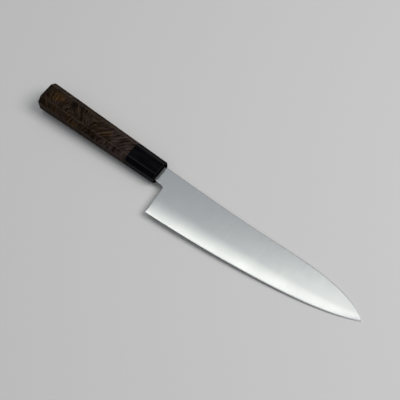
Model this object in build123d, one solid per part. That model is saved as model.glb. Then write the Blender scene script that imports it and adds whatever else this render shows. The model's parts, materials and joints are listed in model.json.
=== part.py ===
from build123d import *
from math import atan2, degrees
import os

# A Japanese-handled chef's knife, in millimetres. Each piece is drawn in the knife's own
# frame: origin at the centre of the ferrule's front face, +X along the handle towards the
# tip, +Y towards the spine, +Z out of the blade's right face. Last, the whole knife is laid
# down on its left side the way it rests on a table, centred over the origin.

# ---- Driving dimensions ----

# blade outline
TIP = (221.0, -7.3)
HEEL = (12.6, -38.1)
SHOULDER_X = 1.3              # where the neck begins, just in front of the ferrule
NECK_TOP = 7.8
NECK_BOTTOM = -8.5
CHOIL_TOP = (10.6, -9.2)      # inner corner between the neck and the choil
CHOIL_RADIUS = 2.6
SPINE_CORNER_RADIUS = 1.2

# edge line: shares of the rise from heel to tip that grow as u, u^2 and u^8
FLAT_SHARE = 0.21
BELLY_SHARE = 0.545
TIP_POWER = 8

# blade section
SPINE_HALF = 1.05             # half thickness at the spine, at the shoulder
DISTAL_TAPER = 0.0029         # loss of half thickness per mm towards the tip
FLAT_TAPER = 0.0050           # loss of half thickness per mm from spine to edge
BEVEL_SHARE = 0.40            # part of the blade's height that is ground convex
EDGE_HALF = 0.10              # half thickness of the cutting edge
BEVEL_CROWN = 0.18            # how far the bevel bulges, as a share of its rise

# tang
TANG_HALF = 0.85
TANG_TOP = 6.6                # just under the rounded rear corner of the spine
TANG_WAIST_X = -13.0
TANG_WAIST_HALF = 4.2         # half height where the tang enters the dowel
TANG_END_X = -84.0
TANG_END_HALF = 2.4

# handle: half height, half thickness and corner leg of the octagon at each end
HANDLE_LENGTH = 134.4
FERRULE_LENGTH = 32.4
FRONT_OCTAGON = (10.6, 8.3, 4.4)
BUTT_OCTAGON = (12.7, 10.7, 5.0)
BUTT_CHAMFER = 1.3
FRONT_CHAMFER = 0.5

# joint between ferrule and body
DOWEL_RADIUS = 6.0
DOWEL_FRONT_X = -10.0
DOWEL_BACK_X = -92.0
MORTISE_GAP = 0.45            # adhesive all round the tang
SEAL_DEPTH = 2.5
SEAL_RECESS = 0.3             # the seal sits this far inside the ferrule's mouth

# resting pose on a table: the ferrule's lower front edge and the blade's point touch
TIP_HALF = 0.34               # half thickness of the blade at its point
REST_PITCH = degrees(atan2(FRONT_OCTAGON[1] - TIP_HALF, TIP[0]))

# working allowances
SLAB = 12.0                   # height of the prisms that are cut to the blade's section
OVERCUT = 3.0                 # how far a cutting body reaches past what it cuts


# ---- Blade ----

def edge_y(x):
    """Height of the cutting edge: nearly flat at the heel, with a belly that lifts to the tip."""
    u = (x - HEEL[0]) / (TIP[0] - HEEL[0])
    tip_share = 1 - FLAT_SHARE - BELLY_SHARE
    lift = FLAT_SHARE * u + BELLY_SHARE * u**2 + tip_share * u**TIP_POWER
    return HEEL[1] + (TIP[1] - HEEL[1]) * lift


def spine_curve():
    """The spine: a faint sway, a low hump before the tip, then the drop to the point."""
    return Spline(
        (SHOULDER_X, NECK_TOP),
        (48.0, 7.05),
        (100.0, 7.15),
        (152.0, 8.35),
        (180.0, 6.95),
        (202.0, 2.5),
        TIP,
    )


def blade_outline():
    """Flat outline of neck and blade, from the shoulder to the tip."""
    edge_stations = (12.6, 50.0, 90.0, 130.0, 165.0, 195.0, 210.0)
    edge_points = [(x, edge_y(x)) for x in edge_stations]
    with BuildSketch() as sketch:
        with BuildLine():
            add(spine_curve())
            Spline(*edge_points, TIP)
            Polyline(HEEL, CHOIL_TOP, (SHOULDER_X, NECK_BOTTOM), (SHOULDER_X, NECK_TOP))
        make_face()
        corner = sketch.vertices().sort_by_distance((*CHOIL_TOP, 0))[0]
        fillet(corner, CHOIL_RADIUS)
        corner = sketch.vertices().sort_by_distance((SHOULDER_X, NECK_TOP, 0))[0]
        fillet(corner, SPINE_CORNER_RADIUS)
    return sketch.sketch


def flat_height(x, y):
    """Height of the right flat above the blade's middle plane."""
    return SPINE_HALF - DISTAL_TAPER * x - FLAT_TAPER * (NECK_TOP - y)


def flat_plane(side):
    """The plane of the right (1) or left (-1) flat, tapering to the point and to the edge."""
    return Plane((0, NECK_TOP, side * SPINE_HALF), z_dir=(DISTAL_TAPER, -FLAT_TAPER, side))


def bevel_section(x):
    """What the grinder takes off at station x: all that lies above the convex bevel."""
    edge = edge_y(x)
    start = edge + BEVEL_SHARE * (NECK_TOP - edge)
    rise = flat_height(x, start) - EDGE_HALF
    foot = -OVERCUT / (start - edge)
    bulge = foot + 4 * BEVEL_CROWN * foot * (1 - foot)
    ground = ThreePointArc(
        (x, edge - OVERCUT, EDGE_HALF + rise * bulge),
        (x, edge, EDGE_HALF),
        (x, start, EDGE_HALF + rise),
    )
    outer = Polyline(
        ground @ 1,
        (x, start, SLAB / 2),
        (x, edge - OVERCUT, SLAB / 2),
        ground @ 0,
    )
    return Wire([*ground.edges(), *outer.edges()])


def bevel_cutter():
    """The ground-away space above the right bevel, from behind the heel to past the tip."""
    stations = (8.0, 50.0, 90.0, 130.0, 160.0, 185.0, 205.0, 222.0)
    return Solid.make_loft([bevel_section(x) for x in stations])


def tang_outline(gap):
    """Tang seen from the side, enlarged all round by gap."""
    return make_face(Polyline(
        (SHOULDER_X, TANG_TOP + gap),
        (0, TANG_TOP + gap),
        (TANG_WAIST_X, TANG_WAIST_HALF + gap),
        (TANG_END_X - gap, TANG_END_HALF + gap),
        (TANG_END_X - gap, -TANG_END_HALF - gap),
        (TANG_WAIST_X, -TANG_WAIST_HALF - gap),
        (0, NECK_BOTTOM - gap),
        (SHOULDER_X, NECK_BOTTOM - gap),
        close=True,
    ))


def tang(gap=0):
    """Solid tang, or with a gap the mortise that it goes into."""
    return extrude(tang_outline(gap), amount=TANG_HALF + gap, both=True)


def blade():
    body = extrude(blade_outline(), amount=SLAB / 2, both=True)
    for side in (1, -1):
        body = split(body, bisect_by=flat_plane(side), keep=Keep.BOTTOM)
    cutter = bevel_cutter()
    body = body - cutter - mirror(cutter, about=Plane.XY)
    return body + tang()


# ---- Handle ----

def octagon_at(x):
    """The handle's section at x, on the straight taper from butt to ferrule."""
    share = -x / HANDLE_LENGTH
    half_height, half_thick, leg = [
        front + share * (butt - front) for front, butt in zip(FRONT_OCTAGON, BUTT_OCTAGON)
    ]
    corner_y = half_height - leg
    corner_z = half_thick - leg
    quarter = [(half_height, corner_z), (corner_y, half_thick)]
    top = quarter + [(-y, z) for y, z in reversed(quarter)]
    ring = top + [(-y, -z) for y, z in top]
    return Wire.make_polygon([(x, y, z) for y, z in ring])


def octagon_bar(back_x, front_x):
    return Part() + Solid.make_loft([octagon_at(back_x), octagon_at(front_x)], ruled=True)


def dowel_blank():
    length = DOWEL_FRONT_X - DOWEL_BACK_X
    return Pos(DOWEL_BACK_X, 0, 0) * (Rot(0, 90, 0) * Cylinder(
        DOWEL_RADIUS, length, align=(Align.CENTER, Align.CENTER, Align.MIN)))


def ferrule():
    bar = octagon_bar(-FERRULE_LENGTH, 0)
    bar = chamfer(bar.faces().sort_by(Axis.X)[-1].edges(), FRONT_CHAMFER)
    return bar - dowel_blank() - tang(MORTISE_GAP)


def handle_body():
    bar = octagon_bar(-HANDLE_LENGTH, -FERRULE_LENGTH)
    bar = chamfer(bar.faces().sort_by(Axis.X)[0].edges(), BUTT_CHAMFER)
    return bar - dowel_blank()


def dowel():
    return dowel_blank() - tang(MORTISE_GAP)


def mortise_filling(back_x, front_x):
    """The part of the space round the tang between two stations."""
    length = front_x - back_x
    slice_box = Pos((back_x + front_x) / 2, 0, 0) * Box(length, 4 * DOWEL_RADIUS, 2 * DOWEL_RADIUS)
    return (tang(MORTISE_GAP) & slice_box) - tang()


def tang_bedding():
    return mortise_filling(TANG_END_X - MORTISE_GAP, -SEAL_DEPTH)


def mouth_seal():
    return mortise_filling(-SEAL_DEPTH, -SEAL_RECESS)


# ---- The knife, laid on the table ----

def lay_down(pieces):
    """Tip the knife to its resting pose and centre it over the origin."""
    turn = Rot(0, REST_PITCH, 0)
    turned = {name: turn * piece for name, piece in pieces.items()}
    box = Compound(list(turned.values())).bounding_box()
    centre = box.center()
    shift = Pos(-centre.X, -centre.Y, -box.min.Z)
    return {name: shift * piece for name, piece in turned.items()}


pieces = {
    "blade": blade(),
    "ferrule": ferrule(),
    "handle_body": handle_body(),
    "dowel": dowel(),
    "tang_bedding": tang_bedding(),
    "mouth_seal": mouth_seal(),
}

os.makedirs("parts", exist_ok=True)
for name, piece in lay_down(pieces).items():
    export_step(piece, f"parts/{name}.step")
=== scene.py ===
import bpy
import json
import math
from mathutils import Matrix, Vector
from mathutils.bvhtree import BVHTree


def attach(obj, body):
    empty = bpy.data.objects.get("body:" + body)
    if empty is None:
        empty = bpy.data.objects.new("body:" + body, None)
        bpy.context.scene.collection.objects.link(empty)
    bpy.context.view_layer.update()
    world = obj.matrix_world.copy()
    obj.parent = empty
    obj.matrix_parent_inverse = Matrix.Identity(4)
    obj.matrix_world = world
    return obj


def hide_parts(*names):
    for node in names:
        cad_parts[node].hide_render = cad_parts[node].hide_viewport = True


# A Japanese-handled chef's knife lying on a pale table. Shapes are made in the knife's own
# frame (origin at the centre of the ferrule's front face, +X to the point, +Y to the spine,
# +Z out of the right face) and then moved to the CAD frame. Lengths are in metres.

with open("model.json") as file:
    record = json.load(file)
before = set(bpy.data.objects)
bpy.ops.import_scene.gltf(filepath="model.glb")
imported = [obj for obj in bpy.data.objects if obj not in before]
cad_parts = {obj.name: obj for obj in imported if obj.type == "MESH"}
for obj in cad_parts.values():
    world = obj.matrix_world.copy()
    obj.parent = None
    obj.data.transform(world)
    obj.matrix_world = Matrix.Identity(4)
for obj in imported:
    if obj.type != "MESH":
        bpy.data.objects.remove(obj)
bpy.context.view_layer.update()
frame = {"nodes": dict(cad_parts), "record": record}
MM = 0.001
SAME = 0.01 * MM            # lengths closer than this are taken as equal
NEAR = 0.15 * MM            # and points this close to a station belong to it
SHARP = math.radians(50)    # edges that turn more than this stay hard

# ---- Where the knife lies ----

MOUNTS = {mount["name"]: mount for mount in frame["record"]["mounts"]}


def knife_matrix():
    """From the knife's own frame to the CAD frame, read from the record's grip mount."""
    grip = MOUNTS["hand_grip"]
    along = -Vector(grip["axis"])
    spineward = Vector((0, 1, 0))
    up = along.cross(spineward)
    turn = Matrix((along, spineward, up)).transposed().to_4x4()
    return Matrix.Translation(grip["pos_m"]) @ turn


KNIFE = knife_matrix()
TO_KNIFE = KNIFE.inverted()


def in_knife_frame(node):
    """A CAD node's points in the knife's own frame."""
    return [TO_KNIFE @ vertex.co for vertex in frame["nodes"][node].data.vertices]


def ring_at(points, x):
    """Half height, half thickness and corner leg of the octagon that the points make at x."""
    near = [p for p in points if abs(p.x - x) < NEAR]
    half_height = max(p.y for p in near)
    half_thick = max(p.z for p in near)
    corner_y = max(p.y for p in near if p.z > half_thick - SAME)
    return half_height, half_thick, half_height - corner_y


# ---- Small helpers ----

def smooth(t):
    """0 up to t = 0, 1 from t = 1, and an even curve between."""
    t = min(1.0, max(0.0, t))
    return t * t * (3 - 2 * t)


def spread(low, high, count):
    """Count values from low to high, both ends included."""
    return [low + (high - low) * i / (count - 1) for i in range(count)]


def new_piece(name, points, faces, node, material, attribute, values):
    """A mesh piece made in the knife's frame that stands for a CAD node.

    The attribute has one value for each point, which the piece's material reads by name.
    """
    mesh = bpy.data.meshes.new(name)
    mesh.from_pydata([KNIFE @ Vector(p) for p in points], [], faces)
    mesh.attributes.new(attribute, "FLOAT", "POINT").data.foreach_set("value", values)
    mesh.validate()
    mesh.polygons.foreach_set("use_smooth", [True] * len(mesh.polygons))
    mesh.set_sharp_from_angle(angle=SHARP)
    mesh.materials.append(material)
    piece = bpy.data.objects.new(name, mesh)
    bpy.context.scene.collection.objects.link(piece)
    normals = piece.modifiers.new("even_normals", "WEIGHTED_NORMAL")
    normals.keep_sharp = True
    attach(piece, "root")
    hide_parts(node)
    return piece


# ---- Blade ----

BEVEL_SHARE = 0.40          # part of the blade's height that is ground convex
EDGE_HALF = 0.10 * MM       # half thickness of the CAD blade's edge
MICRO_BEVEL = 0.7 * MM      # width of the sharpened edge
MICRO_SHARE = 0.25          # most of a short column that the sharpened edge may take
MICRO_HALF = 0.02 * MM      # half thickness at the sharpened edge itself
HONED = 2.0                 # grind value of the bright cutting edge
KEEN_SHARE = 0.1            # part of the sharpened edge, at its very edge, that is honed bright
SPINE_ROUND = 0.35 * MM     # eased corners of spine, neck and choil
TIP_FADE = 25 * MM          # the eased corners die out over this length before the point
HEEL_FADE = 4 * MM          # and over this height above the heel
EASE_STEPS = 4              # points round each eased corner
TANG_HALF = 0.85 * MM
MORTISE_GAP = 0.45 * MM     # all round the tang
SHOULDER_SHADOW = 0.22 * MM   # width of the painted shadow line where the tang meets the shoulder

blade_points = in_knife_frame("blade")
blade_faces = [list(polygon.vertices) for polygon in frame["nodes"]["blade"].data.polygons]
blade_tree = BVHTree.FromPolygons(blade_points, blade_faces)
TIP = max(blade_points, key=lambda p: p.x)
HEEL = min(blade_points, key=lambda p: p.y)
SHOULDER_X = 1.3 * MM
NECK_MIDDLE = 6 * MM        # where the spine's height at the neck is taken
NECK_END = 7.5 * MM         # where the grid's neck columns give way to full columns
FAR = 0.1                   # clear of the blade on every side


def outline_y(x, side):
    """Height of the spine (side 1) or of the lower outline (side -1) at x."""
    hit = blade_tree.ray_cast(Vector((x, side * FAR, 0)), Vector((0, -side, 0)))
    return hit[0].y


def outline_x(y):
    """Where the choil side of the outline is at height y, below the neck."""
    hit = blade_tree.ray_cast(Vector((NECK_END, y, 0)), Vector((1, 0, 0)))
    return hit[0].x


def flat_plane():
    """Point and normal of the right flat in the knife's frame, from its mount."""
    flat = MOUNTS["right_flat"]
    return TO_KNIFE @ Vector(flat["pos_m"]), TO_KNIFE.to_3x3() @ Vector(flat["axis"])


FLAT_POINT, FLAT_NORMAL = flat_plane()
NECK_TOP = outline_y(NECK_MIDDLE, 1)


def flat_height(x, y):
    """Height of the right flat above the blade's middle plane."""
    across = FLAT_NORMAL.x * (x - FLAT_POINT.x) + FLAT_NORMAL.y * (y - FLAT_POINT.y)
    return FLAT_POINT.z - across / FLAT_NORMAL.z


def half_thickness(x, y, edge):
    """Half thickness at (x, y), where edge is the height of the cutting edge below it."""
    height = flat_height(x, y)
    start = edge + BEVEL_SHARE * (NECK_TOP - edge)
    share = (y - edge) / (start - edge)
    if share < 1:
        drop = flat_height(x, edge) - EDGE_HALF
        height -= drop * (1 - share) ** 2
    above_edge = y - edge
    if above_edge < MICRO_BEVEL:
        height = MICRO_HALF + (height - MICRO_HALF) * above_edge / MICRO_BEVEL
    return height


def grind_value(y, edge):
    """0 on the flat, rising to 1 over the ground bevel, and HONED on the cutting edge itself.

    The tang has negative values: -1 where it is dull, and -2 in the painted shadow line at the shoulder,
    where the neck's step would shade it.
    """
    above_edge = y - edge
    if above_edge < KEEN_SHARE * MICRO_BEVEL:
        return HONED
    bevel = BEVEL_SHARE * (NECK_TOP - edge)
    return min(1.0, max(0.0, 1 - (above_edge - MICRO_BEVEL) / (bevel - MICRO_BEVEL)))


# Each face of the blade is a grid: columns run from spine to edge, rows along the blade.
# Columns in the neck stop at its lower side; the first blade column follows the choil.
# A place on the outline is a grid place (column, row), or "tip" for the point.

# Neck columns are close together at the shoulder, where the spine's corner is round.
NECK_STATIONS = [x * MM for x in (1.3, 1.36, 1.5, 1.75, 2.1, 2.6, 3.5, 4.8, 6.2)]
BLADE_COLUMNS = 150
COLUMN_CROWDING = 1.3       # above 1, columns crowd towards the point
NECK_ROWS, FILLET_ROWS, FLAT_ROWS, BEVEL_ROWS = 14, 8, 8, 20
FILLET_REACH = 0.07         # share of the blade's height that the choil's inner corner takes
CHOIL_BLEND = 14 * MM       # how far the choil's shape is carried into the grid


def blade_rows():
    """Shares of the way from the spine to the start of the sharpened edge, row by row."""
    spine = outline_y(NECK_END, 1)
    neck = (spine - outline_y(NECK_END, -1)) / (spine - HEEL.y - MICRO_BEVEL)
    rows = spread(0, neck, NECK_ROWS)
    rows += spread(neck, neck + FILLET_REACH, FILLET_ROWS)[1:]
    rows += spread(neck + FILLET_REACH, 1 - BEVEL_SHARE, FLAT_ROWS)[1:]
    rows += spread(1 - BEVEL_SHARE, 1, BEVEL_ROWS)[1:]
    return rows


ROWS = blade_rows()


def column_points(top, bottom):
    """Points down a straight column, the last two on either side of the sharpened edge."""
    length = (top - bottom).length
    micro = min(MICRO_BEVEL, MICRO_SHARE * length)
    shares = [row * (1 - micro / length) for row in ROWS] + [1]
    return [top.lerp(bottom, share) for share in shares]


def choil_column():
    """The first blade column: down the neck's end, round the inner corner, down the choil."""
    top = Vector((NECK_END, outline_y(NECK_END, 1)))
    points = column_points(top, Vector((NECK_END, HEEL.y)))
    for i, point in enumerate(points):
        if i >= NECK_ROWS and i < len(points) - 1:
            point.x = outline_x(point.y)
    points[-1].x = HEEL.x
    return points


def blade_grid():
    """Columns of (x, y) points: first those of the neck, then those of the blade."""
    columns = []
    for x in NECK_STATIONS:
        top, bottom = outline_y(x, 1), outline_y(x, -1)
        rise = bottom - top
        columns.append([Vector((x, top + rise * k / (NECK_ROWS - 1))) for k in range(NECK_ROWS)])
    first = choil_column()
    straight = column_points(first[0], first[-1])
    columns.append(first)
    for i in range(1, BLADE_COLUMNS):
        along = 1 - (1 - i / BLADE_COLUMNS) ** COLUMN_CROWDING
        top_x = NECK_END + (TIP.x - NECK_END) * along
        edge_x = HEEL.x + (TIP.x - HEEL.x) * along
        top = Vector((top_x, outline_y(top_x, 1)))
        bottom = Vector((edge_x, outline_y(edge_x, -1)))
        fade = 1 - smooth((top_x - NECK_END) / CHOIL_BLEND)
        plain = column_points(top, bottom)
        columns.append([p + (a - b) * fade for p, a, b in zip(plain, first, straight)])
    return columns


def blade_perimeter(columns):
    """Places round the outline: along spine, point, edge, choil and the neck's underside."""
    neck = len(NECK_STATIONS)
    last = len(columns) - 1
    foot = len(columns[-1]) - 1
    path = [(c, 0) for c in range(last + 1)]
    path.append("tip")
    path += [(c, foot) for c in range(last, neck - 1, -1)]
    path += [(neck, r) for r in range(foot - 1, NECK_ROWS - 2, -1)]
    path += [(c, NECK_ROWS - 1) for c in range(neck - 1, -1, -1)]
    return path


def easing(place, point, columns):
    """Radius of the eased corner at a place on the outline: none along the cutting edge."""
    if place == "tip" or (place[0] >= len(NECK_STATIONS) and place[1] == len(columns[-1]) - 1):
        return 0.0
    to_tip = (TIP.x - point.x) / TIP_FADE
    to_heel = (point.y - HEEL.y) / HEEL_FADE
    return SPINE_ROUND * min(1, to_tip, to_heel if place[1] >= NECK_ROWS else 1)


def inward_normals(points):
    """Unit vectors into the blade at each point of the outline, which runs clockwise."""
    normals = []
    for i, point in enumerate(points):
        before = points[max(i - 1, 0)]
        after = points[min(i + 1, len(points) - 1)]
        tangent = (after - before).normalized()
        normals.append(Vector((tangent.y, -tangent.x)))
    return normals


def tang_profile():
    """(x, upper height, lower height) along the tang: its painted shadow line, then each of its bends."""
    hidden = [p for p in blade_points if p.x < SHOULDER_X - SHOULDER_SHADOW]
    stations = sorted({round(p.x, 5) for p in hidden}, reverse=True)
    profile = []
    for x in stations:
        heights = [p.y for p in hidden if abs(p.x - x) < SAME]
        profile.append((x, max(heights), min(heights)))
    front = [(x, *profile[0][1:]) for x in (SHOULDER_X, SHOULDER_X - SHOULDER_SHADOW)]
    return front + profile


TANG_PROFILE = tang_profile()
TANG_DULLNESS_AND_SHADOW = [2] + [1] * (len(TANG_PROFILE) - 1)     # the painted shadow line, then plain dull steel


class BladeSkin:
    """The blade's points, each with its grind value, and the faces between them."""

    def __init__(self):
        self.points = []
        self.grind = []
        self.faces = []

    def add(self, x, y, z, grind):
        """Adds a point and returns its number."""
        self.points.append((x, y, z))
        self.grind.append(grind)
        return len(self.points) - 1

    def face(self, corners, side=1):
        """Adds a face; corners given for the right side run the other way round on the left."""
        self.faces.append(tuple(corners)[::side])


def add_sides(skin, columns):
    """Adds the blade's right (1) and left (-1) face; returns point numbers by (side, place)."""
    index = {}
    for side in (1, -1):
        for c, column in enumerate(columns):
            edge = HEEL.y if c < len(NECK_STATIONS) else column[-1].y
            for r, (x, y) in enumerate(column):
                z = side * half_thickness(x, y, edge)
                index[side, (c, r)] = skin.add(x, y, z, grind_value(y, edge))
        index[side, "tip"] = skin.add(TIP.x, TIP.y, side * MICRO_HALF, HONED)
    for side in (1, -1):
        for c, (column, following) in enumerate(zip(columns, columns[1:])):
            for r in range(min(len(column), len(following)) - 1):
                places = (c, r), (c, r + 1), (c + 1, r + 1), (c + 1, r)
                skin.face([index[side, place] for place in places], side)
        last = len(columns) - 1
        for r in range(len(columns[last]) - 1):
            places = (last, r), (last, r + 1), "tip"
            skin.face([index[side, place] for place in places], side)
    return index


def rim_strip(skin, right, left, point, normal, radius):
    """Numbers of the points over the rim at one place, from the right face to the left."""
    if radius <= 0:
        return [right] * (EASE_STEPS + 1) + [left] * (EASE_STEPS + 1)
    top = skin.points[right][2]
    strip = [right]
    for step in range(1, EASE_STEPS + 1):
        angle = math.pi / 2 * step / EASE_STEPS
        spot = point + normal * radius * (1 - math.sin(angle))
        strip.append(skin.add(spot.x, spot.y, top - radius * (1 - math.cos(angle)), 0.0))
    for number in strip[:0:-1]:
        x, y, z = skin.points[number]
        strip.append(skin.add(x, y, -z, 0.0))
    return strip + [left]


def add_tang(skin, index, rim):
    """Adds the shoulder and the tang, as rings that follow the neck's end section."""
    rows = range(NECK_ROWS)
    ring = [index[1, (0, r)] for r in rows] + rim[-1][1:-1]
    ring += [index[-1, (0, r)] for r in reversed(rows)] + rim[0][-2:0:-1]
    section = [skin.points[number] for number in ring]
    top = max(p[1] for p in section)
    bottom = min(p[1] for p in section)
    thick = max(p[2] for p in section)
    for (x, upper, lower), dullness_and_shadow in zip(TANG_PROFILE, TANG_DULLNESS_AND_SHADOW):
        following = []
        for _, y, z in section:
            height = lower + (upper - lower) * (y - bottom) / (top - bottom)
            following.append(skin.add(x, height, z / thick * TANG_HALF, -dullness_and_shadow))
        for k in range(len(ring)):
            j = (k + 1) % len(ring)
            skin.face((ring[k], following[k], following[j], ring[j]))
        ring = following
    skin.face(ring)


def build_blade(material):
    columns = blade_grid()
    perimeter = blade_perimeter(columns)
    outline = [Vector((TIP.x, TIP.y)) if place == "tip" else columns[place[0]][place[1]].copy()
               for place in perimeter]
    normals = inward_normals(outline)
    radii = [easing(place, point, columns) for place, point in zip(perimeter, outline)]
    for place, point, normal, radius in zip(perimeter, outline, normals, radii):
        if place != "tip":
            columns[place[0]][place[1]] = point + normal * radius

    skin = BladeSkin()
    index = add_sides(skin, columns)
    rim = []
    for place, *corner in zip(perimeter, outline, normals, radii):
        rim.append(rim_strip(skin, index[1, place], index[-1, place], *corner))
    for one, two in zip(rim, rim[1:]):
        for a, b, c, d in zip(one, one[1:], two[1:], two):
            corners = list(dict.fromkeys((a, d, c, b)))
            if len(corners) > 2:
                skin.face(corners)
    add_tang(skin, index, rim)
    new_piece("blade_ground", skin.points, skin.faces, "blade", material,
              "grind", skin.grind)


# ---- Handle ----

CORNER_STEPS = 7            # points at each ridge: five round it, and one on the facet each side
RIDGE_ROUND = 0.55 * MM     # radius of the eased ridges
FACET_REACH = 0.9 * MM      # how far onto the facet the outer two points are
# Across each ridge: real wear, plus a painted highlight where the eased ridge would catch the light.
RIDGE_WEAR_AND_HIGHLIGHT = (0, 0.3, 0.8, 1, 0.8, 0.3, 0)
WEAR_AND_HIGHLIGHT_FADE = 8               # power by which the wear and painted ridge highlight die out from an end's rim to its middle
RING_POINTS = 8 * CORNER_STEPS


def octagon(x, size, inset=0.0):
    """Ring of points: an octagon with eased ridges, drawn in by inset."""
    half_height, half_thick, leg = size
    half_height -= inset
    half_thick -= inset
    leg -= inset * (2 - math.sqrt(2))
    corners = [(half_height, half_thick - leg), (half_height - leg, half_thick)]
    corners += [(-y, z) for y, z in reversed(corners)]
    corners += [(-y, -z) for y, z in corners]
    ring = []
    turn = math.pi / 4
    for k, (y, z) in enumerate(corners):
        middle = turn * (k + 0.5)
        back = RIDGE_ROUND / math.cos(turn / 2)
        centre = Vector((y - back * math.cos(middle), z - back * math.sin(middle)))
        arc = []
        for angle in spread(middle - turn / 2, middle + turn / 2, CORNER_STEPS - 2):
            arc.append(centre + RIDGE_ROUND * Vector((math.cos(angle), math.sin(angle))))
        first, last = middle - turn / 2, middle + turn / 2
        before = arc[0] + FACET_REACH * Vector((math.sin(first), -math.cos(first)))
        after = arc[-1] + FACET_REACH * Vector((-math.sin(last), math.cos(last)))
        ring += [(x, point.x, point.y) for point in (before, *arc, after)]
    return ring


def circle(x, radius):
    """Ring of points round the bore, one for each point of an octagon ring."""
    angles = [2 * math.pi * (k + 0.5) / RING_POINTS for k in range(RING_POINTS)]
    return [(x, radius * math.cos(angle), radius * math.sin(angle)) for angle in angles]


def slot(x, upper, lower, half_width):
    """Ring of points round the tang's slot, with a point at each of its corners.

    Its four runs go down the right half, as shares of the slot's half height and half width;
    the left half is the same turned half round.
    """
    runs = [(1, 1, 0.3, 1), (0.9, 0.3, 1, 1), (-0.3, -0.9, 1, 1), (-1, -1, 1, 0.3)]
    right = []
    for y0, y1, z0, z1 in runs:
        right += zip(spread(y0, y1, CORNER_STEPS), spread(z0, z1, CORNER_STEPS))
    shape = right + [(-y, -z) for y, z in right]
    middle, half = (upper + lower) / 2, (upper - lower) / 2
    return [(x, middle + half * y, half_width * z) for y, z in shape]


class HandleSkin:
    """Rings of points, each with a wear-and-highlight value for every point, that a surface is drawn
    through.
    """

    def __init__(self):
        self.rings = []
        self.wear_and_highlight = []

    def octagon(self, x, size, inset=0.0, worn_and_lit=0.0, shrink=1.0):
        """Adds an octagon whose ridges carry wear and a painted highlight, with at least the given value
        all round.
        """
        ring = octagon(x, size, inset)
        self.rings.append([(x, y * shrink, z * shrink) for x, y, z in ring])
        self.wear_and_highlight += [max(worn_and_lit, wear_and_highlight * shrink ** WEAR_AND_HIGHLIGHT_FADE) for wear_and_highlight in RIDGE_WEAR_AND_HIGHLIGHT] * 8

    def eased_end(self, x, size, reach, angles, worn_and_lit):
        """Adds rings round the eased edge of an end that starts at x and ends at x + reach."""
        for angle in angles:
            inset = abs(reach) * (1 - math.cos(angle))
            self.octagon(x + reach * math.sin(angle), size, inset, worn_and_lit * math.sin(2 * angle))

    def unworn(self, ring):
        """Adds a ring without wear or painted highlight."""
        self.rings.append(ring)
        self.wear_and_highlight += [0.0] * RING_POINTS

    def surface(self, closed):
        """Points, faces and wear-and-highlight values; an open skin's ends are closed by fans."""
        points = [p for ring in self.rings for p in ring]
        wear_and_highlight = list(self.wear_and_highlight)
        starts = [k * RING_POINTS for k in range(len(self.rings))]
        pairs = list(zip(starts, starts[1:]))
        if closed:
            pairs.append((starts[-1], starts[0]))
        faces = []
        for a, b in pairs:
            for k in range(RING_POINTS):
                j = (k + 1) % RING_POINTS
                faces.append((a + k, b + k, b + j, a + j))
        if not closed:
            for start, order in ((starts[0], 1), (starts[-1], -1)):
                ring = points[start:start + RING_POINTS]
                points.append(tuple(sum(axis) / RING_POINTS for axis in zip(*ring)))
                wear_and_highlight.append(0.0)
                for k in range(RING_POINTS):
                    j = (k + 1) % RING_POINTS
                    faces.append((start + k, start + j, len(points) - 1)[::order])
        return points, faces, wear_and_highlight


body_points = in_knife_frame("handle_body")
dowel_points = in_knife_frame("dowel")
BUTT_X = min(p.x for p in body_points)
JOINT_X = max(p.x for p in body_points)
BUTT_CHAMFER = 1.3 * MM
BUTT_WEAR = 0.7
BUTT_RINGS = (0.85, 0.6, 0.3)       # rings on the butt's flat end, as shares of its rim
FRONT_CHAMFER = 0.5 * MM
FRONT_WEAR = 0.6
SANDED_DEPTH = 0.2 * FRONT_CHAMFER  # how deep the sanded front face reaches into its eased edge
JOINT_OCTAGON = ring_at(body_points, JOINT_X)
REAR_OCTAGON = ring_at(body_points, BUTT_X + BUTT_CHAMFER)
DOWEL_BACK = min(p.x for p in dowel_points)
DOWEL_FRONT = max(p.x for p in dowel_points)
DOWEL_RADIUS = max(p.z for p in dowel_points)
JOINT_EASE = 0.12 * MM      # hairline where wood and ferrule meet
END_STRIP = 0.5 * MM        # plain wood between the taper's last ring and the butt's eased edge
FACE_STRIP = 0.3 * MM       # flat rim of the ferrule's front face, inside its eased edge


def taper(x):
    """Octagon size at x on the handle's straight taper."""
    share = (x - JOINT_X) / (BUTT_X + BUTT_CHAMFER - JOINT_X)
    return tuple(a + (b - a) * share for a, b in zip(JOINT_OCTAGON, REAR_OCTAGON))


def build_handle_body(material):
    eased_x = BUTT_X + BUTT_CHAMFER
    skin = HandleSkin()
    skin.unworn(circle(DOWEL_BACK, DOWEL_RADIUS))
    skin.unworn(circle(JOINT_X, DOWEL_RADIUS))
    skin.octagon(JOINT_X, taper(JOINT_X), JOINT_EASE)
    for x in spread(JOINT_X - JOINT_EASE, eased_x + END_STRIP, count=24):
        skin.octagon(x, taper(x))
    quarter_turn = spread(0, math.pi / 2, count=8)
    skin.eased_end(eased_x, taper(eased_x), -BUTT_CHAMFER, quarter_turn, BUTT_WEAR)
    for shrink in BUTT_RINGS:
        skin.octagon(BUTT_X, taper(eased_x), BUTT_CHAMFER, shrink=shrink)
    points, faces, wear_and_highlight = skin.surface(closed=False)
    new_piece("handle_wood", points, faces, "handle_body", material, "wear_and_highlight", wear_and_highlight)


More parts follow.
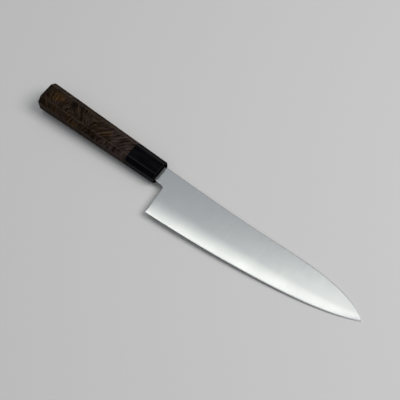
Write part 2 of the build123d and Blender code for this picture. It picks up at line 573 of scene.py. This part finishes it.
def build_ferrule(polished, sanded):
    """The horn collar: polished outside, with its front face only sanded flat.

    Its slot follows the tang, from where the tang leaves the collar to its waist in the dowel.
    """
    mouth, waist = TANG_PROFILE[2:4]
    share = (DOWEL_FRONT - mouth[0]) / (waist[0] - mouth[0])
    upper, lower = [a + (b - a) * share for a, b in zip(mouth[1:], waist[1:])]
    half_width = TANG_HALF + MORTISE_GAP
    size = taper(-FRONT_CHAMFER)
    skin = HandleSkin()
    skin.unworn(circle(JOINT_X, DOWEL_RADIUS))
    skin.unworn(circle(DOWEL_FRONT, DOWEL_RADIUS))
    skin.unworn(slot(DOWEL_FRONT, upper + MORTISE_GAP, lower - MORTISE_GAP, half_width))
    skin.unworn(slot(0, mouth[1] + MORTISE_GAP, mouth[2] - MORTISE_GAP, half_width))
    skin.unworn(octagon(0, size, FRONT_CHAMFER + FACE_STRIP))
    quarter_turn = spread(math.pi / 2, 0, count=5)
    skin.eased_end(-FRONT_CHAMFER, size, FRONT_CHAMFER, quarter_turn, FRONT_WEAR)
    for x in spread(-2 * FRONT_CHAMFER, JOINT_X + JOINT_EASE, count=8):
        skin.octagon(x, taper(x))
    skin.octagon(JOINT_X, taper(JOINT_X), JOINT_EASE)
    points, faces, wear_and_highlight = skin.surface(closed=True)
    piece = new_piece("ferrule_collar", points, faces, "ferrule", polished,
                      "wear_and_highlight", wear_and_highlight)
    piece.data.materials.append(sanded)
    for face, polygon in zip(faces, piece.data.polygons):
        on_front = all(points[number][0] > -SANDED_DEPTH for number in face)
        polygon.material_index = int(on_front)


# ---- Materials ----
# Every pattern is drawn in the knife's own frame, in millimetres.

class Nodes:
    """Makes the nodes of one material."""

    def __init__(self, name):
        self.material = bpy.data.materials.new(name)
        self.material.use_nodes = True
        self.tree = self.material.node_tree
        self.shader = self.tree.nodes["Principled BSDF"]

    def add(self, kind, inputs=None, **settings):
        """A node with its settings, and with a value or another node's output in each input."""
        node = self.tree.nodes.new(kind)
        for name, value in settings.items():
            setattr(node, name, value)
        for name, value in (inputs or {}).items():
            self.put(node.inputs[name], value)
        return node

    def put(self, socket, value):
        """Sets an input to a value, or links another node's output to it."""
        if isinstance(value, bpy.types.NodeSocket):
            self.tree.links.new(value, socket)
        else:
            socket.default_value = value

    def shade(self, **inputs):
        """Sets the shader's inputs; underscores in a name stand for spaces."""
        for name, value in inputs.items():
            self.put(self.shader.inputs[name.replace("_", " ")], value)

    def place(self, stretch=(1, 1, 1)):
        """Position in the knife's frame in millimetres, times stretch."""
        coordinates = self.add("ShaderNodeTexCoord").outputs["Object"]
        millimetres = self.add("ShaderNodeMapping", {
            "Vector": coordinates,
            "Location": TO_KNIFE.translation / MM,
            "Rotation": TO_KNIFE.to_euler(),
            "Scale": (1 / MM, 1 / MM, 1 / MM),
        }).outputs[0]
        return self.vector("MULTIPLY", millimetres, stretch)

    def vector(self, operation, first, second):
        node = self.add("ShaderNodeVectorMath", {0: first, 1: second}, operation=operation)
        return node.outputs[0]

    def axes(self):
        """The three parts of the position, as separate outputs."""
        parts = self.add("ShaderNodeSeparateXYZ", {0: self.place()}).outputs
        return parts[0], parts[1], parts[2]

    def noise(self, stretch, detail=2.0, roughness=0.5, distortion=0.0, shift=(0, 0, 0)):
        """Noise about 0.5, with about one bump for each unit of the stretched position."""
        place = self.vector("ADD", self.place(stretch), shift)
        return self.noise_at(place, detail, roughness, distortion)

    def noise_at(self, place, detail, roughness, distortion=0.0):
        """Noise at a place that is already stretched."""
        node = self.add("ShaderNodeTexNoise", {
            "Vector": place, "Scale": 1.0,
            "Detail": detail, "Roughness": roughness, "Distortion": distortion,
        })
        return node.outputs[0]

    def math(self, operation, *values):
        node = self.add("ShaderNodeMath", dict(enumerate(values)), operation=operation)
        return node.outputs[0]

    def scaled(self, value, factor, offset=0.0):
        """Value times factor, plus offset."""
        return self.math("MULTIPLY_ADD", value, factor, offset)

    def between(self, value, low, high, to_low=0.0, to_high=1.0):
        """Value remapped smoothly from low..high to to_low..to_high, and held outside."""
        node = self.add("ShaderNodeMapRange", {
            "Value": value, "From Min": low, "From Max": high, "To Min": to_low, "To Max": to_high,
        }, interpolation_type="SMOOTHSTEP")
        return node.outputs[0]

    def mix(self, share, first, second):
        """The first colour where share is 0, and the second where it is 1."""
        node = self.add("ShaderNodeMix", {"Factor": share}, data_type="RGBA")
        colours = [socket for socket in node.inputs if socket.type == "RGBA"]
        for socket, value in zip(colours, (first, second)):
            self.put(socket, value)
        return [socket for socket in node.outputs if socket.type == "RGBA"][0]

    def attribute(self, name):
        """A piece's own value at each point, read by name."""
        return self.add("ShaderNodeAttribute", attribute_name=name).outputs["Fac"]

    def bump(self, height, depth, below=None):
        """A normal from a height of 0 to 1, depth millimetres deep."""
        inputs = {"Height": height, "Strength": 1.0, "Distance": depth * MM}
        if below is not None:
            inputs["Normal"] = below
        return self.add("ShaderNodeBump", inputs).outputs[0]


def steel_material():
    """Satin stainless steel: fine hairlines from spine to edge, a brighter honed edge.

    The piece's grind values tell it where the honed edge, the dull tang and the painted shadow line at the
    shoulder are.
    """
    nodes = Nodes("satin_steel")
    grind = nodes.attribute("grind")
    honed = nodes.between(grind, 1.02, 1.2)
    hairline = nodes.noise((9.0, 0.10, 2.0), detail=3.0, roughness=0.7)
    scratch = nodes.noise((2.2, 0.05, 1.0), detail=2.0, roughness=0.6, shift=(31, 7, 0))
    cloud = nodes.noise((0.05, 0.03, 0.05), detail=2.0, shift=(5, 2, 9))
    lines = nodes.math("ADD", nodes.scaled(hairline, 0.6), nodes.scaled(scratch, 0.4))
    dim, bright = (0.59, 0.59, 0.60, 1), (0.67, 0.67, 0.675, 1)
    satin = nodes.mix(nodes.between(lines, 0.35, 0.65), dim, bright)
    satin = nodes.mix(nodes.between(cloud, 0.35, 0.65, 0, 0.35), satin, (0.58, 0.585, 0.60, 1))
    colour = nodes.mix(honed, satin, (0.74, 0.74, 0.74, 1))
    dullness_and_shadow = nodes.scaled(grind, -1.0)
    tang = nodes.between(dullness_and_shadow, 0.0, 0.6)
    colour = nodes.mix(tang, colour, (0.30, 0.30, 0.30, 1))
    # Painted shadow: near black in the thin line where the neck's step would shade the tang.
    colour = nodes.mix(nodes.between(dullness_and_shadow, 1.0, 1.8), colour, (0.02, 0.02, 0.02, 1))
    roughness = nodes.math("ADD", nodes.scaled(lines, 0.06), nodes.scaled(cloud, 0.04, 0.17))
    roughness = nodes.math("SUBTRACT", roughness, nodes.scaled(honed, 0.05))
    roughness = nodes.math("ADD", roughness, nodes.scaled(tang, 0.25))
    normal = nodes.bump(lines, 0.0015)
    nodes.shade(Base_Color=colour, Metallic=1.0, Roughness=roughness, Normal=normal)
    return nodes.material


def wood_material():
    """Dark curly wood: soft pale flames slanting across the grain, gold patches, open pores."""
    nodes = Nodes("figured_dark_wood")
    x, y, z = nodes.axes()
    turn = nodes.noise((0.034, 0.05, 0.05), detail=1.0, shift=(3, 1, 8))
    turn = nodes.math("ADD", turn, nodes.scaled(x, 0.0028, 0.26))
    slant = nodes.between(turn, 0.36, 0.50, -0.7, 1.0)
    sway = nodes.noise((0.09, 0.14, 0.14), detail=2.0, shift=(7, 5, 2))
    across = nodes.math("SUBTRACT", x, nodes.math("MULTIPLY", y, slant))
    across = nodes.math("ADD", across, nodes.scaled(z, 0.45))
    across = nodes.math("ADD", across, nodes.scaled(sway, 4.5))

    def curl(pitch, length, detail, roughness):
        """Noise in bands across the grain: pitch and length are its bumps per millimetre."""
        place = nodes.add("ShaderNodeCombineXYZ", {
            0: nodes.scaled(across, pitch), 1: nodes.scaled(y, length), 2: nodes.scaled(z, length),
        }).outputs[0]
        return nodes.noise_at(place, detail, roughness)

    flame = curl(0.50, 0.07, detail=3.0, roughness=0.62)
    streak = curl(1.5, 0.15, detail=2.0, roughness=0.6)
    fibre = nodes.noise((0.16, 1.9, 1.9), detail=4.0, roughness=0.65)
    pore = nodes.between(nodes.noise((0.35, 4.5, 4.5), detail=2.0, shift=(1, 5, 3)), 0.60, 0.70)
    patch = nodes.noise((0.075, 0.12, 0.12), detail=1.0, shift=(8, 0, 6))
    gold = nodes.between(nodes.math("SUBTRACT", patch, nodes.scaled(x, 0.0016)), 0.64, 0.80)
    gold = nodes.math("MULTIPLY", gold, nodes.between(streak, 0.42, 0.58))
    broad = nodes.scaled(nodes.between(flame, 0.46, 0.68), 0.42)
    fine = nodes.between(streak, 0.48, 0.62, 0.0, 0.62)
    figure = nodes.math("ADD", broad, fine)
    umber, brown = (0.0050, 0.0027, 0.0015, 1), (0.0120, 0.0066, 0.0040, 1)
    dark = nodes.mix(nodes.between(fibre, 0.35, 0.65), umber, brown)
    rear, front = (0.072, 0.046, 0.033, 1), (0.106, 0.074, 0.066, 1)
    pale = nodes.mix(nodes.between(x, -75.0, -48.0), rear, front)
    pale = nodes.mix(gold, pale, (0.106, 0.056, 0.019, 1))
    colour = nodes.mix(figure, dark, pale)
    colour = nodes.mix(nodes.scaled(pore, 0.6), colour, (0.003, 0.002, 0.0015, 1))
    # Lighter wood on the ridges and eased ends: partly wear, partly a painted highlight along the ridges.
    worn_and_lit = nodes.math("MULTIPLY", nodes.attribute("wear_and_highlight"), nodes.between(fibre, 0.3, 0.7))
    colour = nodes.mix(nodes.scaled(worn_and_lit, 0.75), colour, (0.120, 0.088, 0.068, 1))
    roughness = nodes.math("ADD", nodes.scaled(fibre, 0.16, 0.36), nodes.scaled(pore, 0.20))
    roughness = nodes.math("SUBTRACT", roughness, nodes.scaled(worn_and_lit, 0.10))
    height = nodes.math("SUBTRACT", nodes.scaled(fibre, 0.5), pore)
    normal = nodes.bump(figure, 0.03, nodes.bump(height, 0.04))
    nodes.shade(Base_Color=colour, Roughness=roughness, Specular_IOR_Level=0.015, Normal=normal)
    return nodes.material


def horn_material(name, gloss, roughness):
    """Black horn: near black, with faint smoky streaks along it and fine scuffs.

    Gloss is its specular level; roughness is for horn without scuffs or wear.
    """
    nodes = Nodes(name)
    streak = nodes.noise((0.05, 0.55, 0.55), detail=4.0, roughness=0.6, distortion=0.4,
                         shift=(4, 4, 4))
    scuff = nodes.noise((0.5, 3.0, 3.0), detail=3.0, roughness=0.7)
    black, smoky = (0.0026, 0.0024, 0.0034, 1), (0.0075, 0.0065, 0.0078, 1)
    colour = nodes.mix(nodes.between(streak, 0.42, 0.72), black, smoky)
    # Lighter horn on the ridges and eased ends: partly wear, partly a painted highlight along the ridges.
    worn_and_lit = nodes.attribute("wear_and_highlight")
    colour = nodes.mix(nodes.scaled(worn_and_lit, 0.60), colour, (0.046, 0.042, 0.038, 1))
    roughness = nodes.math("ADD", nodes.scaled(scuff, 0.14, roughness), nodes.scaled(worn_and_lit, 0.06))
    normal = nodes.bump(scuff, 0.004)
    nodes.shade(Base_Color=colour, Roughness=roughness, Specular_IOR_Level=gloss, Normal=normal)
    return nodes.material


# Hidden pieces: each CAD node's material, as its name, dark colour, light colour,
# grain (bumps per millimetre), depth of the grain in millimetres, and roughness.
FILLERS = {
    "dowel": ("peg_wood", (0.30, 0.19, 0.10), (0.45, 0.31, 0.18), (0.2, 3, 3), 0.02, 0.7),
    "tang_bedding": ("bedding_resin", (0.30, 0.24, 0.13), (0.42, 0.35, 0.20), (2, 2, 2), 0.01, 0.45),
    "mouth_seal": ("sealing_compound", (0.006, 0.006, 0.007), (0.016, 0.015, 0.016), (3, 3, 3), 0.01, 0.5),
}


def filler_material(name, dark, light, grain, depth, roughness):
    """A plain material with a fine grain: adhesive, sealing compound or peg wood."""
    nodes = Nodes(name)
    speckle = nodes.noise(grain, detail=4.0, roughness=0.6)
    patch = nodes.noise([value * 0.15 for value in grain], detail=2.0, shift=(6, 2, 1))
    colour = nodes.mix(nodes.between(speckle, 0.3, 0.7), (*dark, 1), (*light, 1))
    colour = nodes.mix(nodes.between(patch, 0.4, 0.7, 0, 0.4), colour, (*dark, 1))
    rough = nodes.scaled(speckle, 0.2, roughness - 0.1)
    nodes.shade(Base_Color=colour, Roughness=rough, Normal=nodes.bump(speckle, depth))
    return nodes.material


def finish_cad_node(node, material):
    """Gives a carried-over CAD node this material in place of its plain one."""
    frame["nodes"][node].material_slots[0].material = material


# ---- Studio ----

FLOOR_HALF = 6.0

# The sky's strength over the height of its direction, from the horizon (0) to overhead (1).
SKY_RISE = {"From Min": 0.4, "From Max": 0.95, "To Min": 0.09, "To Max": 0.46}

# Radiances are in watts per square metre and steradian. The key light is long and narrow, and
# its blurred reflection is the bright band along the blade.
KEY_X, KEY_Y, KEY_HEIGHT = -0.118, 0.123, 1.0
KEY_SIZE, KEY_RADIANCE, KEY_TURN = (0.80, 0.165), 1.70, 27.5
KEY_COLOUR = (1.0, 1.01, 0.92)
FILL_PLACE, FILL_SIZE, FILL_RADIANCE = (1.0, 0.5, 1.5), (0.9, 0.9), 5.8

# The camera's direction is turned from the edge's side towards the point, and raised from the
# plane of the blade, in the knife's frame.
CAMERA_AZIMUTH, CAMERA_ELEVATION = math.radians(36.93), math.radians(66.34)
CAMERA_DISTANCE = 848.09 * MM
CAMERA_TARGET = (44.41 * MM, 0.36 * MM, 0)
CAMERA_VIEW = math.radians(23.76)


def build_floor():
    mesh = bpy.data.meshes.new("studio_floor")
    corners = [(x * FLOOR_HALF, y * FLOOR_HALF, 0) for x, y in ((-1, -1), (1, -1), (1, 1), (-1, 1))]
    mesh.from_pydata(corners, [], [(0, 1, 2, 3)])
    nodes = Nodes("studio_floor")
    nodes.shade(Base_Color=(0.84, 0.81, 0.80, 1), Roughness=0.9, Specular_IOR_Level=0.2)
    mesh.materials.append(nodes.material)
    floor = bpy.data.objects.new("studio_floor", mesh)
    bpy.context.scene.collection.objects.link(floor)


def softbox(name, place, aim, size, radiance, turned=0.0, colour=(1, 1, 1)):
    """A rectangular light of the given radiance; place and aim are in the knife's frame.

    Its first side runs along the knife, turned by some degrees towards the spine.
    """
    lamp = bpy.data.lights.new(name, "AREA")
    lamp.shape = "RECTANGLE"
    lamp.size, lamp.size_y = size
    lamp.energy = radiance * math.pi * size[0] * size[1]
    lamp.color = colour
    light = bpy.data.objects.new(name, lamp)
    back = (Vector(place) - Vector(aim)).normalized()
    angle = math.radians(turned)
    side = Vector((-math.sin(angle), math.cos(angle), 0)).cross(back).normalized()
    turn = Matrix((side, back.cross(side), back)).transposed().to_4x4()
    light.matrix_world = KNIFE @ Matrix.Translation(place) @ turn
    bpy.context.scene.collection.objects.link(light)


def build_sky():
    """A soft even studio: brighter overhead than round the sides."""
    world = bpy.data.worlds.new("studio")
    bpy.context.scene.world = world
    world.use_nodes = True
    nodes = world.node_tree.nodes
    links = world.node_tree.links
    direction = nodes.new("ShaderNodeTexCoord").outputs["Generated"]
    parts = nodes.new("ShaderNodeSeparateXYZ")
    links.new(direction, parts.inputs[0])
    rise = nodes.new("ShaderNodeMapRange")
    rise.interpolation_type = "SMOOTHSTEP"
    links.new(parts.outputs[2], rise.inputs["Value"])
    for name, value in SKY_RISE.items():
        rise.inputs[name].default_value = value
    links.new(rise.outputs[0], nodes["Background"].inputs["Strength"])
    nodes["Background"].inputs["Color"].default_value = (0.93, 1.0, 1.05, 1)


def build_camera():
    """Looks down on the right face from the edge's side; the blade comes down to the right."""
    level = math.cos(CAMERA_ELEVATION)
    back = Vector((math.sin(CAMERA_AZIMUTH) * level, -math.cos(CAMERA_AZIMUTH) * level,
                   math.sin(CAMERA_ELEVATION)))
    right = Vector((0, 0, 1)).cross(back).normalized()
    up = back.cross(right)
    turn = Matrix((right, up, back)).transposed().to_4x4()
    lens = bpy.data.cameras.new("camera")
    lens.angle = CAMERA_VIEW
    camera = bpy.data.objects.new("camera", lens)
    place = Vector(CAMERA_TARGET) + back * CAMERA_DISTANCE
    camera.matrix_world = KNIFE @ Matrix.Translation(place) @ turn
    bpy.context.scene.collection.objects.link(camera)
    bpy.context.scene.camera = camera


build_blade(steel_material())
build_handle_body(wood_material())
build_ferrule(horn_material("black_horn", 0.015, 0.26), horn_material("black_horn_end", 0.0, 0.6))
for node, look in FILLERS.items():
    finish_cad_node(node, filler_material(*look))
build_floor()
build_sky()
softbox("key", (KEY_X, KEY_Y, KEY_HEIGHT), (KEY_X, KEY_Y, 0), KEY_SIZE, KEY_RADIANCE, KEY_TURN, KEY_COLOUR)
softbox("fill", FILL_PLACE, (0, 0, 0), FILL_SIZE, FILL_RADIANCE)
build_camera()
bpy.context.scene.view_settings.view_transform = "Standard"
